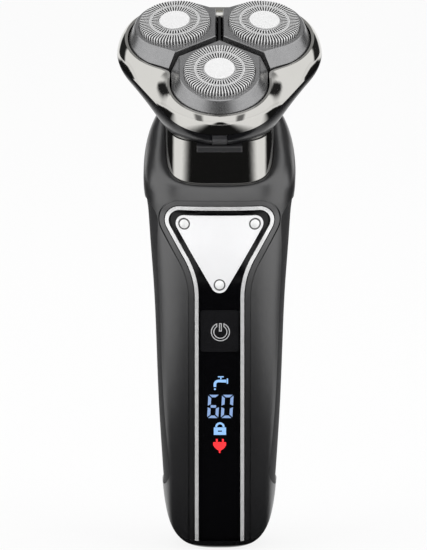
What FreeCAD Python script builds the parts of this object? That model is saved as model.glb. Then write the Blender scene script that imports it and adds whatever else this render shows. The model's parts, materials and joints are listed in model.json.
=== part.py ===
"""Rotary shaver with three pivoting cutter pods.

The handle stands upright on its base: the origin is the centre of that base, +Z is up and the
front faces -Y.  The shaving head is built in a tilted frame of its own, where x points right,
w up the slope towards the back and n out of the cutters.
"""
import FreeCAD
import Part
import math
import os
from FreeCAD import Placement, Rotation, Vector

# ---------------------------------------------------------------- handle, outer form
foot_front = 7.2           # flat foot: from the origin to its front edge
foot_rear = 9.2
foot_half = 8.0            # half of its width
foot_round = 15.5          # height of the rounding between foot and sides
knee_front = 14.8          # section that the rounding runs up to
knee_rear = 14.1
knee_half = 16.6
handle_stations = (        # height, front depth, rear depth, half width
    (24.0, 16.0, 14.9, 17.7),
    (42.0, 17.4, 15.6, 18.8),
    (62.0, 18.3, 16.7, 19.6),
    (82.0, 18.5, 18.2, 20.5),
    (97.0, 17.8, 19.7, 21.6),
)
shoulder_z = 106.0         # where the shoulders start to close towards the neck
shoulder_front = 16.9
shoulder_rear = 20.6
shoulder_half = 22.3
crown_front_rise = 9.8     # height of the crown's front edge above the shoulder
crown_rear_rise = 31.8
crown_front_in = 1.7       # how far the crown closes in over that rise
crown_rear_in = 3.6
crown_side_in = 5.5
crown_close = 1.15         # how late the sides close, over 1 is later
shoulder_bulge = 1.6       # swelling of the shoulders half way up
foot_power = 2.6           # squareness of the cross-sections
front_power = 3.0
rear_power = 2.8
crown_power = 3.8
foot_steps = 5
crown_steps = 6

# ---------------------------------------------------------------- handle, shells and covers
wall = 2.2
parting_y = 1.0            # plane where the front and rear shells meet
fit_gap = 0.1              # between pieces that are fitted and don't move
beyond = 40.0              # reach of cutting tools past the body
overlap = 0.5              # how far joined pieces run into each other
cap_top = 3.0              # top of the base cap's rim
grip_front = 11.9          # side grips, seen from the side
grip_rear = 11.0
grip_bottom = 20.0
grip_top = 109.5
grip_corner = 6.0
grip_sink = 0.4            # depth of the grip's face below the shell's face
grip_floor = 1.4           # depth of the pocket that holds it

bezel_half = 12.0          # centres of the bezel's upper corners
bezel_z = 104.8
bezel_corner = 3.5         # radius of its inner line about them
bezel_slope = 30.0         # its sides, from upright
bezel_bend = 25.0          # radius where the sides bend into the strips
strip_half = 6.4           # half width between the strips
trim_width = 1.1
trim_proud = 0.15
trim_gap = 0.3             # dark gap between trim and shell
ridge_offset = 1.75        # fine groove round the bezel, outside the trim
ridge_width = 0.4
ridge_depth = 0.3
front_floor = 1.4          # depth of the recess that holds trim and window
window_sink = 0.6
window_gap = 0.15

plate_half = 10.77         # rivet centres of the triangular plate
plate_z = 104.0
plate_corner = 2.55
plate_sink = 0.05          # depth of its face below the shell's outer form
plate_rim = 0.8            # width and depth of the lower step round it
plate_rim_sink = 0.2
rivet_radius = 1.4
rivet_shank = 1.0
rivet_dome = 0.45
rivet_groove = 0.25        # width and depth of the groove round each rivet

# ---------------------------------------------------------------- controls and electronics
button_half = 5.8          # power button
button_bottom = 64.2
button_top = 77.3
button_travel = 0.7
button_gap = 0.15
button_corner = 0.8
flange_lip = 0.8
flange_thick = 0.9
flange_gap = 0.5           # between the button's flange and the shell's wall
plunger_radius = 1.4
plunger_gap = 0.3          # between the plunger's end and its bore's, when pressed
switch_size = 6.0
switch_depth = 3.6
switch_bore = 1.6
display_half = 5.3
display_bottom = 31.5
display_top = 60.5
display_lip = 0.8
display_gap = 1.2          # between the display and the shell's inside
board_front = 9.4          # from the origin to the board's front face
board_thick = 1.0
board_half = 12.0
board_bottom = 30.0
board_top = 100.0
standoff_radius = 1.8
standoff_edge = 1.0        # from the standoffs to the board's edges
small_screw = 0.8          # thread radius of the small screws
small_head = 1.5
head_height = 0.9
post_wall = 0.6            # of the posts round the screw heads

cell_radius = 7.0
cell_length = 50.0
cell_y = 4.0
cell_bottom = 10.2
contact_thick = 0.3
contact_radius = 4.9
frame_front = 5.6          # front and back faces of the frame's spine
frame_rear = 3.6
shelf_thick = 2.0
frame_half = 12.0
cradle_side = 1.5          # of the ribs that hold the cell, beside it
cradle_share = 0.25        # from each end of the cell to its rib
arm_half = 13.4            # outer faces of the arms that reach into the neck
arm_thick = 1.8
arm_top = 120.0
arm_rear = 0.4
arm_root = 88.0
socket_width = 8.9         # charging socket
socket_height = 3.2
socket_wall = 0.35
socket_depth = 7.2
socket_sink = 0.4          # of the metal shell's mouth and its back wall
socket_back = 0.8
socket_collar = 0.9        # of the base cap, round the socket
tongue_side = 1.3          # from the socket's sides to its tongue
tongue_half = 0.35
tongue_low = 1.6
base_screw_front = 4.0
base_screw_rear = 5.8
base_screw_sink = 0.3      # depth of the heads in the foot
drive_half = 1.2           # cross slots in the heads
drive_width = 0.4
drive_depth = 0.5
base_post_wall = 0.9       # of the frame's posts round the base screws
plug_height = 1.5          # of the base cap's rim inside the shells
plug_wall = 1.2

# ---------------------------------------------------------------- shaving head
head_y = -9.0              # centre of the cutters' common plane
head_z = 160.9
head_tilt = 25.0
tooth_module = 0.5
pinion_teeth = 15
gear_teeth = 45
spindle_ring = tooth_module * (pinion_teeth + gear_teeth) / 2
pod_directions = {"front": -90.0, "right": 30.0, "left": 150.0}
neck_half = 16.3           # chrome neck where it leaves the crown
neck_lip_front = 0.4       # crown's lip in front of and behind the neck
neck_lip_rear = 1.2
neck_top_half = 16.3
neck_top_front = 19.6      # neck's top, from the head's axis
neck_top_rear = 15.0
neck_power = 4.0
neck_sink = 6.0            # length of the neck inside the crown
neck_wall = 1.5
corner_screw_side = 10.8   # screws between the neck's top and the head base
corner_screw_front = 14.4
corner_screw_rear = 10.3
corner_screw_length = 5.0
corner_post_length = 7.0
corner_post_sink = 0.2     # of the posts below the neck's surface
neck_top = -25.6           # heights in the head's frame are along n, zero at the guards' faces
seal_thick = 0.6
seal_inset = 0.5
seal_width = 1.6
bowl_floor_low = -22.7
bowl_floor_top = -21.2
bowl_wall = 1.5
bowl_roundness = 2.0       # how full the bowl swells between the neck and its edge
bowl_steps = 6
base_top = -12.2
base_corner = 18.15        # radius of the base's rounded corners about the cutters' axes
post_ring = 18.0           # screw posts between the gears
post_radius = 2.3
deck_low = -13.8
deck_top = -12.5
deck_gap = 0.2

motor_half = 10.05         # flat-sided motor
motor_depth = 7.55
motor_length = 22.0
motor_plate_thick = 1.5
motor_plate_half = 11.0
motor_plate_depth = 7.85
motor_plate_corner = 2.0
motor_boss = 3.0
motor_boss_length = 1.4
motor_screw_ring = 6.5
motor_screw_length = 2.5
motor_head_height = 0.8
motor_tab_place = 7.0      # tabs that the wires are soldered to
motor_tab_thick = 0.6
motor_tab_half = 1.2
motor_tab_length = 3.0
shaft_radius = 1.0
shaft_tail = 1.6
shaft_end = 0.3            # above the pinion
pinion_low = -18.8
pinion_high = -15.3
gear_low = -18.3
gear_high = -15.8
tooth_tip = 0.85           # tooth heights in modules
tooth_root = 1.15
backlash = 0.16
pressure_angle = 20.0
spindle_radius = 1.5
spindle_hub = 2.7
spindle_gap = 0.05         # radial running gap of turning pieces
spindle_end_gap = 0.1
spindle_shoulder = -9.0
spindle_top = -5.4
spindle_pivot = 1.0        # depth of its pivot in the bowl's floor
spindle_flats = 2.4        # hexagonal tip
bush_radius = 2.6
bush_rim = 0.5
bush_rim_thick = 0.2

hinge_w = 26.4             # rear hinge of the shaving unit
hinge_n = -12.6
knuckle_radius = 2.0
knuckle_gap = 0.2
hinge_pin_radius = 1.0
unit_knuckle_half = 4.0
base_knuckle_outer = 8.0
base_ear_drop = 3.4        # the ears' faces, below the hinge's axis
base_ear_top = 0.5
unit_ear_low = 0.7         # and the shroud's, above it
unit_ear_high = 3.0

shroud_low = -12.0
shroud_top = -6.7
shroud_wall = 0.9
rim_corner = 15.8          # rim's radius about the cutters' axes
rim_blend = 5.75           # sharpness of the valleys between the pods
rim_steps = (0.0, 0.3, 0.6, 0.85, 1.0)
rim_flare = 0.96           # how steeply it flares out below the rim
rim_even = 0.35            # share of an even slope in that flare
carrier_low = -11.9
carrier_top = -11.0
carrier_bore = 6.4
rib_half = 0.35            # fins between the pods
rib_top = -3.2
rib_end = 13.9
pod_tilt = 5.0             # outward lean of the pods at rest
pivot_n = -9.3
pivot_radius = 0.7
pod_gap = 0.6              # half of the gap between upright pods
pod_top = -1.6
pod_edge = 0.3
pod_plate = 1.2
pod_half = 12.4            # half width of the pod's face
skirt_half = 14.6
skirt_n = -6.6
skirt_low = -8.5
pod_wall = 1.2
sector_wall = 0.6          # thinner where the pods face each other
ear_inner = 12.2
ear_half = 1.6
post_inner = 9.6
post_outer = 12.0
post_half = 1.5

guard_radius = 10.8
guard_hole_gap = 0.25
guard_wall = 0.55
guard_low = -4.4
guard_flange = 11.5
flange_top = -3.1
guard_groove = 7.3
groove_width = 0.5
groove_depth = 0.25
slot_count = 36
slot_width = 0.4
slot_inner = 8.0
slot_outer = 10.3
centre_radius = 4.6
centre_rise = 0.15
centre_pin = 1.6
cutter_disc = 9.6
cutter_low = -3.6
cutter_high = -2.9
blade_count = 12
blade_inner = 7.9
blade_top = -0.75
blade_thick = 0.5
hub_radius = 2.9
hub_low = -6.5
hub_flats = 3.6

release_half = 6.9
release_low = -21.0
release_high = -18.6
release_front = 30.6
release_rear = 23.2
release_travel = 1.2
release_gap = 0.15
release_flange = 1.0
release_flange_low = -20.6
latch_half = 2.2
latch_thick = 1.2
latch_steps = 4
release_round = 0.6
release_flange_thick = 1.0

screw_radius = 1.0
screw_head = 1.8
deck_screw_length = 5.0

os.makedirs("parts", exist_ok=True)


# ================================================================ helpers
def blend(start, end, share):
    return start + (end - start) * share


def save(name, shape):
    shape.exportStep("parts/" + name + ".step")


def box(x_range, y_range, z_range):
    corner = Vector(x_range[0], y_range[0], z_range[0])
    return Part.makeBox(x_range[1] - x_range[0], y_range[1] - y_range[0], z_range[1] - z_range[0], corner)


def rod(radius, low, high, x=0.0, y=0.0):
    return Part.makeCylinder(radius, high - low, Vector(x, y, low))


def rod_y(radius, front, rear, x, z):
    return Part.makeCylinder(radius, rear - front, Vector(x, front, z), Vector(0, 1, 0))


def rod_x(radius, left, right, y, z):
    return Part.makeCylinder(radius, right - left, Vector(left, y, z), Vector(1, 0, 0))


def hexagon(flats, low, high):
    corner = flats / math.sqrt(3)
    points = [Vector(corner * math.cos(math.radians(60 * k)), corner * math.sin(math.radians(60 * k)), low)
              for k in range(7)]
    return Part.Face(Part.makePolygon(points)).extrude(Vector(0, 0, high - low))


def placed(shape, *steps):
    """The shape carried through each placement in turn."""
    result = shape.copy()
    for step in steps:
        result.Placement = step.multiply(result.Placement)
    return result


def turn_z(degrees):
    return Placement(Vector(0, 0, 0), Rotation(Vector(0, 0, 1), degrees))


def closed_curve(points):
    curve = Part.BSplineCurve()
    curve.interpolate(Points=points, PeriodicFlag=True)
    return Part.Wire([curve.toShape()])


def ring(front, rear, half, front_square, rear_square, samples=24):
    """Rounded section between a front and a rear point (y, z), with its own squareness at each end."""
    points = []
    for k in range(samples):
        angle = 2 * math.pi * k / samples
        across, along = math.cos(angle), math.sin(angle)
        power = rear_square if along >= 0 else front_square
        x = half * math.copysign(abs(across) ** (2 / power), across)
        share = (1 + math.copysign(abs(along) ** (2 / power), along)) / 2
        points.append(Vector(x, blend(front[0], rear[0], share), blend(front[1], rear[1], share)))
    return closed_curve(points)


# ================================================================ handle form
def handle_rows(inset):
    """Sections of the handle's outer form, moved in by inset: foot rounding, sides, shoulders."""
    rows = []
    for step in range(foot_steps):
        angle = math.radians(90 * step / foot_steps)
        out = math.sin(angle)
        height = foot_round - (foot_round - inset) * math.cos(angle)
        rows.append((height, height, blend(foot_front, knee_front, out), blend(foot_rear, knee_rear, out),
                     blend(foot_half, knee_half, out), blend(foot_power, front_power, out),
                     blend(foot_power, rear_power, out)))
    for height, front, rear, half in handle_stations:
        rows.append((height, height, front, rear, half, front_power, rear_power))
    for step in range(crown_steps + 1):
        angle = math.radians(90 * step / crown_steps)
        up, closing = math.sin(angle), 1 - math.cos(angle)
        swell = shoulder_bulge * math.sin(2 * angle)
        rows.append((shoulder_z + (crown_front_rise - inset) * up,
                     shoulder_z + (crown_rear_rise - inset) * up,
                     shoulder_front - crown_front_in * closing,
                     shoulder_rear + 0.75 * swell - crown_rear_in * closing,
                     shoulder_half + swell - crown_side_in * closing ** crown_close,
                     blend(front_power, crown_power, closing), blend(rear_power, crown_power, closing)))
    return rows


def handle_solid(inset):
    rings = []
    for front_z, rear_z, front, rear, half, front_square, rear_square in handle_rows(inset):
        rings.append(ring((inset - front, front_z), (rear - inset, rear_z), half - inset,
                          front_square, rear_square))
    return Part.makeLoft(rings, True, False)


def handle_at(height):
    """Front depth and half width of the handle at a height, between its stations."""
    stations = [(foot_round, knee_front, knee_rear, knee_half)]
    stations += handle_stations
    stations.append((shoulder_z, shoulder_front, shoulder_rear, shoulder_half))
    for low, high in zip(stations, stations[1:]):
        if height <= high[0]:
            share = (height - low[0]) / (high[0] - low[0])
            return blend(low[1], high[1], share), blend(low[3], high[3], share)
    return shoulder_front, shoulder_half


def front_at(height):
    return handle_at(height)[0]


def face_at(x, height):
    """Depth of the front face off its middle line, and its slope there in degrees."""
    front, half = handle_at(height)
    share = abs(x) / half
    fall = 1 - share ** front_power
    slope = front / half * share ** (front_power - 1) / fall ** (1 - 1 / front_power)
    return front * fall ** (1 / front_power), math.degrees(math.atan(math.copysign(slope, x)))


crown_front = Vector(0, crown_front_in - shoulder_front, shoulder_z + crown_front_rise)
crown_rear = Vector(0, shoulder_rear - crown_rear_in, shoulder_z + crown_rear_rise)
crown_along = (crown_rear - crown_front).normalize()
crown_up = Vector(0, -crown_along.z, crown_along.y)

head_place = Placement(Vector(0, head_y, head_z), Rotation(Vector(1, 0, 0), head_tilt))


def head_point(w, n):
    """A point (y, z) of the handle's frame, from w and n on the head's middle plane."""
    point = head_place.multVec(Vector(0, w, n))
    return point.y, point.z


# ================================================================ outlines on the handle's front
def bezel_tool(offset, bottom, depth=beyond):
    """Prism of the bezel's outline seen from the front: a rounded triangle that runs into a strip."""
    slope = math.radians(bezel_slope)
    radius, half, bend = bezel_corner + offset, strip_half + offset, bezel_bend - offset
    side_x = bezel_half + radius * math.cos(slope)
    side_z = bezel_z - radius * math.sin(slope)
    run = (side_x - half) / math.sin(slope)
    meet_z = side_z - run * math.cos(slope)
    tangent = bend * math.tan(slope / 2)
    upper = (half + tangent * math.sin(slope), meet_z + tangent * math.cos(slope))
    lower = (half, meet_z - tangent)
    middle = (half + bend - bend * math.cos(slope / 2), lower[1] + bend * math.sin(slope / 2))
    corner = (bezel_half + radius * math.cos(slope), bezel_z + radius * math.sin(slope))

    def at(x, z):
        return Vector(x, -depth, z)

    edges = [Part.LineSegment(at(-bezel_half, bezel_z + radius), at(bezel_half, bezel_z + radius)),
             Part.Arc(at(bezel_half, bezel_z + radius), at(*corner), at(side_x, side_z)),
             Part.LineSegment(at(side_x, side_z), at(*upper)),
             Part.Arc(at(*upper), at(*middle), at(*lower)),
             Part.LineSegment(at(*lower), at(half, bottom)),
             Part.LineSegment(at(half, bottom), at(-half, bottom)),
             Part.LineSegment(at(-half, bottom), at(-lower[0], lower[1])),
             Part.Arc(at(-lower[0], lower[1]), at(-middle[0], middle[1]), at(-upper[0], upper[1])),
             Part.LineSegment(at(-upper[0], upper[1]), at(-side_x, side_z)),
             Part.Arc(at(-side_x, side_z), at(-corner[0], corner[1]), at(-bezel_half, bezel_z + radius))]
    wire = Part.Wire([edge.toShape() for edge in edges])
    return Part.Face(wire).extrude(Vector(0, depth, 0))


def rounded_block(x_range, y_range, z_range, radius, axis):
    """Box with rounded edges along one axis (0 for x, 1 for y, 2 for z)."""
    block = box(x_range, y_range, z_range)
    edges = [edge for edge in block.Edges if abs(edge.tangentAt(edge.FirstParameter)[axis]) > 0.9]
    return block.makeFillet(radius, edges)


def grip_tool(grow):
    return rounded_block((0, beyond), (-grip_front - grow, grip_rear + grow),
                         (grip_bottom - grow, grip_top + grow), grip_corner + grow, 0)


# ================================================================ shells, grips and front
def make_shells(outer, floors):
    shell = outer.cut(handle_solid(wall))
    crown_top = shoulder_z + crown_rear_rise
    shell = shell.common(box((-beyond, beyond), (-beyond, beyond), (cap_top, crown_top + 1)))
    shell = shell.cut(neck_form(fit_gap))
    front = shell.common(box((-beyond, beyond), (-beyond, parting_y), (0, 4 * beyond)))
    rear = shell.common(box((-beyond, beyond), (parting_y, beyond), (0, 4 * beyond)))
    pocket = grip_tool(fit_gap).cut(floors["grip"])
    pocket = pocket.fuse(pocket.mirror(Vector(0, 0, 0), Vector(1, 0, 0)))
    outline = trim_width + trim_gap
    recess = bezel_tool(outline, 0.0).cut(floors["front"])
    ridge = outline + ridge_offset
    groove = bezel_tool(ridge, 0.0).cut(bezel_tool(ridge - ridge_width, 0.0))
    groove = groove.cut(floors["ridge"])
    front = front.cut([pocket, recess, groove, button_hole(), display_hole()])
    return front, rear.cut(pocket)


def button_hole():
    """Way through the shell's wall for the power button's body and travel."""
    grow = button_gap + fit_gap
    return box((-button_half - grow, button_half + grow), (-beyond, -front_at(button_top) + wall + 1),
               (button_bottom - grow, button_top + grow))


def display_hole():
    half = display_half - display_lip
    return box((-half, half), (-beyond, -front_at(display_bottom) + wall + 2),
               (display_bottom + display_lip, display_top - display_lip))


def make_grips(floors):
    right = grip_tool(0.0).common(floors["grip_face"]).cut(floors["grip"])
    return right, right.mirror(Vector(0, 0, 0), Vector(1, 0, 0))


def make_front(floors):
    """Trim, window and power button lens, which share the recess in the front shell."""
    trim = bezel_tool(trim_width, cap_top).cut(bezel_tool(0.0, cap_top - 1))
    trim = trim.common(floors["trim_face"]).cut(floors["front"])
    window = bezel_tool(-window_gap, cap_top).common(floors["window_face"]).cut(floors["front"])
    window = window.cut(button_prism(button_gap))
    return trim, window


def button_prism(grow):
    return rounded_block((-button_half - grow, button_half + grow), (-beyond, button_rear()),
                         (button_bottom - grow, button_top + grow), button_corner + grow, 1)


def button_rear():
    """Back face of the power button, just behind the shell's wall."""
    return flange_gap + wall - front_at(button_bottom)


def make_power_button(floors):
    body = button_prism(0.0).common(floors["window_face"])
    low, high = button_rear(), button_rear() + flange_thick
    flange = box((-button_half - flange_lip, button_half + flange_lip), (low, high),
                 (button_bottom - flange_lip, button_top + flange_lip))
    return body.fuse(flange)


def make_switch():
    """Push switch on the board, and the plunger that the button carries."""
    middle = (button_bottom + button_top) / 2
    front = -board_front - switch_depth
    case = box((-switch_size / 2, switch_size / 2), (front, -board_front),
               (middle - switch_size / 2, middle + switch_size / 2))
    bore_end = front + button_travel + switch_bore
    case = case.cut(rod_y(plunger_radius + spindle_gap, front, bore_end, 0, middle))
    start = button_rear() + flange_thick
    plunger = rod_y(plunger_radius, start, bore_end - button_travel - plunger_gap, 0, middle)
    return case, plunger


# ---------------------------------------------------------------- triangular plate
def rivet_places():
    return (plate_half, plate_z), (0.0, plate_z - plate_half * math.sqrt(3)), (-plate_half, plate_z)


def plate_prism(radius):
    """Rounded triangle about the rivets, seen from the front."""
    edges = []
    last = None
    for (x, z), start in zip(rivet_places(), (90, -30, -150)):
        angles = [math.radians(angle) for angle in (start, start - 60, start - 120)]
        arc = [Vector(x + radius * math.cos(angle), -beyond, z + radius * math.sin(angle)) for angle in angles]
        if last:
            edges.append(Part.LineSegment(last, arc[0]))
        edges.append(Part.Arc(*arc))
        last = arc[2]
    edges.append(Part.LineSegment(last, Vector(plate_half, -beyond, plate_z + radius)))
    wire = Part.Wire([edge.toShape() for edge in edges])
    return Part.Face(wire).extrude(Vector(0, beyond, 0))


def rivet_place(x, z):
    """Frame of one rivet: its y axis runs into the handle, square to the face."""
    depth, slope = face_at(x, z)
    return Placement(Vector(x, plate_sink - depth, z), Rotation(Vector(0, 0, 1), slope))


def make_plate(floors):
    """Curved plate with a stepped rim, and the rivets in their grooves."""
    plate = plate_prism(plate_corner - plate_rim).common(floors["plate_face"])
    plate = plate.fuse(plate_prism(plate_corner).common(floors["plate_rim"])).cut(floors["window_face"])
    ball = (rivet_radius ** 2 + rivet_dome ** 2) / (2 * rivet_dome)
    dome = Part.makeSphere(ball, Vector(0, ball - rivet_dome, 0)).common(
        rod_y(rivet_radius, -rivet_dome, 0.0, 0, 0))
    rivet = dome.fuse(rod_y(rivet_shank, 0.0, front_floor - plate_sink - 2 * fit_gap, 0, 0))
    groove = rod_y(rivet_radius + rivet_groove, -1.0, rivet_groove, 0, 0).cut(
        rod_y(rivet_radius, -1.0, rivet_groove, 0, 0))
    places = [rivet_place(x, z) for x, z in rivet_places()]
    rivets = Part.makeCompound([placed(rivet, place) for place in places])
    plate = plate.cut([rivets] + [placed(groove, place) for place in places])
    return max(plate.Solids, key=lambda solid: solid.Volume), rivets


# ================================================================ neck
def neck_rings(grow):
    front = crown_front + crown_along * (neck_lip_front - grow)
    rear = crown_rear - crown_along * (neck_lip_rear - grow)
    sunk = crown_up * -neck_sink
    raised = crown_up * 0.5
    rings = []
    for shift in (sunk, raised):
        low, high = front + shift, rear + shift
        rings.append(ring((low.y, low.z), (high.y, high.z), neck_half + grow, neck_power, neck_power))
    return rings


def neck_form(grow):
    """Neck's outer form: straight through the crown, then up to the head's tilted plane."""
    rings = neck_rings(grow)
    rings.append(ring(head_point(-neck_top_front - grow, neck_top),
                      head_point(neck_top_rear + grow, neck_top), neck_top_half + grow,
                      neck_power, neck_power))
    return Part.makeLoft(rings, True, True)


def neck_bore():
    """Hollow of the neck, open at both ends."""
    rings = neck_rings(-neck_wall)
    below = crown_up * -1.0
    start = rings[0].copy()
    start.translate(below)
    top = []
    for height in (neck_top, neck_top + 1.0):
        top.append(ring(head_point(neck_wall - neck_top_front, height),
                        head_point(neck_top_rear - neck_wall, height), neck_top_half - neck_wall,
                        neck_power, neck_power))
    return Part.makeLoft([start] + rings[1:] + top, True, True)


def corner_posts(radius, low, high):
    """Cylinders along n at the four corners of the neck's top, in the head's frame."""
    return [rod(radius, low, high, x, w) for x in (-corner_screw_side, corner_screw_side)
            for w in (-corner_screw_front, corner_screw_rear)]


# ================================================================ inside the handle
def make_board():
    return box((-board_half, board_half), (-board_front, board_thick - board_front),
               (board_bottom, board_top))


def standoffs():
    inset = standoff_radius + standoff_edge
    return [(x, z) for x in (inset - board_half, board_half - inset)
            for z in (board_bottom + inset, board_top - inset)]


def make_board_screws():
    front = -board_front
    screws = []
    for x, z in standoffs():
        head = rod_y(small_head, front - head_height, front, x, z)
        screws.append(head.fuse(rod_y(small_screw, front, -frame_rear, x, z)))
    return Part.makeCompound(screws)


def make_display():
    front = -front_at(display_bottom) + wall + display_gap
    return box((-display_half, display_half), (front, -board_front), (display_bottom, display_top))


def make_cell():
    return rod(cell_radius, cell_bottom, cell_bottom + cell_length, 0, cell_y)


def make_contacts():
    low = rod(contact_radius, cell_bottom - contact_thick, cell_bottom, 0, cell_y)
    top = cell_bottom + cell_length
    return Part.makeCompound([low, rod(contact_radius, top, top + contact_thick, 0, cell_y)])


def make_frame():
    """Chassis: a spine behind the board, shelves that hold the cell, arms that reach the neck."""
    shelf_low = cell_bottom - contact_thick - shelf_thick
    shelf_high = cell_bottom + cell_length + contact_thick
    spine = box((-frame_half, frame_half), (-frame_front, -frame_rear), (shelf_low, board_top))
    parts = []
    for low in (shelf_low, shelf_high):
        parts.append(box((-cell_radius, cell_radius), (-frame_rear, cell_y + cell_radius - overlap),
                         (low, low + shelf_thick)))
    for share in (cradle_share, 1 - cradle_share):
        middle = cell_bottom + cell_length * share
        low, high = middle - shelf_thick / 2, middle + shelf_thick / 2
        rib = box((-cell_radius - cradle_side, cell_radius + cradle_side), (-frame_rear, cell_y), (low, high))
        parts.append(rib.cut(rod(cell_radius, low - 1, high + 1, 0, cell_y)))
    for x, z in standoffs():
        parts.append(rod_y(standoff_radius, board_thick - board_front, -frame_front, x, z))
    for side in (-1, 1):
        xs = sorted((side * arm_half, side * (arm_half - arm_thick)))
        parts.append(box(xs, (-frame_front, arm_rear), (arm_root, arm_top)))
    for y in (-base_screw_front, base_screw_rear):
        parts.append(rod(screw_radius + base_post_wall, cap_top, shelf_low + overlap, 0, y))
    frame = spine.fuse(parts)
    for y in (-base_screw_front, base_screw_rear):
        frame = frame.cut(rod(screw_radius, 0, shelf_low + shelf_thick - base_screw_sink, 0, y))
    screws = [rod_y(small_screw, -board_front, -frame_rear, x, z) for x, z in standoffs()]
    return frame.cut(screws)


# ---------------------------------------------------------------- base
def socket_outline(grow, low, high):
    half_width, half_height = socket_width / 2 + grow, socket_height / 2 + grow
    return rounded_block((-half_width, half_width), (-half_height, half_height),
                         (low, high), half_height * 0.9, 2)


def make_socket():
    shell = socket_outline(0.0, socket_sink, socket_depth)
    shell = shell.cut(socket_outline(-socket_wall, 0.0, socket_depth - socket_back))
    tongue = box((tongue_side - socket_width / 2, socket_width / 2 - tongue_side),
                 (-tongue_half, tongue_half), (tongue_low, socket_depth - socket_back / 2))
    return shell.fuse(tongue)


def make_cap(outer):
    """Base cap: the foot itself, with a plug that steps up inside the shells."""
    cap = outer.common(box((-beyond, beyond), (-beyond, beyond), (0, cap_top)))
    plug_top = cap_top + plug_height
    plug = handle_solid(wall + fit_gap).common(
        box((-beyond, beyond), (-beyond, beyond), (cap_top - overlap, plug_top)))
    inside = foot_half - plug_wall
    rings = [ring((plug_wall - foot_front, z), (foot_rear - plug_wall, z), inside, foot_power, foot_power)
             for z in (cap_top, plug_top + 1)]
    hollow = Part.makeLoft(rings, True, True)
    cap = cap.fuse(plug).cut(hollow)
    posts = [rod(screw_head + post_wall, 1, cap_top, 0, y) for y in (-base_screw_front, base_screw_rear)]
    collar = socket_outline(socket_collar, 1, cap_top)
    cap = cap.fuse(posts + [collar])
    cap = cap.cut(socket_outline(0.0, -1, 20))
    for y in (-base_screw_front, base_screw_rear):
        cap = cap.cut(rod(screw_head, -1, base_screw_sink + head_height, 0, y))
        cap = cap.cut(rod(screw_radius, -1, 20, 0, y))
    return cap


def make_base_screws():
    shelf_high = cell_bottom - contact_thick
    low, high = base_screw_sink, base_screw_sink + head_height
    slot = (low - 1, low + drive_depth)
    screws = []
    for y in (-base_screw_front, base_screw_rear):
        head = rod(screw_head, low, high, 0, y)
        drive = box((-drive_half, drive_half), (y - drive_width / 2, y + drive_width / 2), slot).fuse(
            box((-drive_width / 2, drive_width / 2), (y - drive_half, y + drive_half), slot))
        screws.append(head.cut(drive).fuse(rod(screw_radius, high, shelf_high - overlap, 0, y)))
    return Part.makeCompound(screws)


# ================================================================ head base and drive (head's frame)
def triangle_radius(angle, corner):
    """Polar radius of the rounded triangle whose corners are circles about the cutters' axes."""
    psi = abs((angle + 90 + 60) % 120 - 60)
    tangent = math.degrees(math.atan2(corner * math.sin(math.radians(60)),
                                      spindle_ring + corner * math.cos(math.radians(60))))
    if psi <= tangent:
        return circle_radius(psi, corner)
    return (spindle_ring / 2 + corner) / math.cos(math.radians(60 - psi))


def circle_radius(psi, corner):
    across = spindle_ring * math.sin(math.radians(psi))
    return spindle_ring * math.cos(math.radians(psi)) + math.sqrt(corner ** 2 - across ** 2)


def trefoil_radius(angle, corner):
    """Polar radius of three blended circles, with a valley between each pair of pods."""
    psi = abs((angle + 90 + 60) % 120 - 60)
    near = circle_radius(psi, corner)
    far = circle_radius(min(120 - psi, 74), corner)
    return (near ** rim_blend + far ** rim_blend) ** (1 / rim_blend)


def neck_radius(angle, grow):
    """Polar radius of the neck's top section about the head's axis."""
    direction = math.radians(angle)
    across, along = abs(math.cos(direction)), math.sin(direction)
    middle = (neck_top_rear - neck_top_front) / 2
    depth = (neck_top_rear + neck_top_front) / 2 + grow
    low, high = 0.0, 2 * depth
    for step in range(30):
        radius = (low + high) / 2
        value = (radius * across / (neck_top_half + grow)) ** neck_power
        value += (abs(radius * along - middle) / depth) ** neck_power
        low, high = (radius, high) if value < 1 else (low, radius)
    return radius


def polar_ring(radius_at, n, samples=48):
    points = []
    for k in range(samples):
        angle = 360 * k / samples - 90
        radius = radius_at(angle)
        points.append(Vector(radius * math.cos(math.radians(angle)),
                             radius * math.sin(math.radians(angle)), n))
    return closed_curve(points)


def triangle_ring(corner, n):
    return polar_ring(lambda angle: triangle_radius(angle, corner), n)


def bowl_radius(angle, n):
    """Polar radius of the head base: the neck's outline that swells into a rounded triangle."""
    low = neck_top + seal_thick
    share = max(0.0, min(1.0, (n - low) / (base_top - low)))
    full = 1 - (1 - share) ** bowl_roundness
    return blend(neck_radius(angle, 0.0), triangle_radius(angle, base_corner), full)


def bowl_solid(inset, low, high):
    """The bowl's form between two heights, moved in by inset."""
    rings = []
    for step in range(bowl_steps + 1):
        n = blend(low, high, step / bowl_steps)
        rings.append(polar_ring(lambda angle: bowl_radius(angle, n) - inset, n))
    return Part.makeLoft(rings, True, False)


def post_places():
    return [(post_ring * math.cos(math.radians(angle + 60)), post_ring * math.sin(math.radians(angle + 60)))
            for angle in pod_directions.values()]


def spindle_places():
    return [(spindle_ring * math.cos(math.radians(angle)), spindle_ring * math.sin(math.radians(angle)))
            for angle in pod_directions.values()]


def latch_profile(grow):
    """Side view (w, n) of the latch arm that lies in the base's front wall."""
    depth = latch_thick + grow
    face = []
    for step in range(latch_steps + 1):
        n = blend(base_top - fit_gap, release_high, step / latch_steps)
        face.append((fit_gap - bowl_radius(-90, n), n))
    return face + [(w + depth, n) for w, n in reversed(face)]


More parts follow.
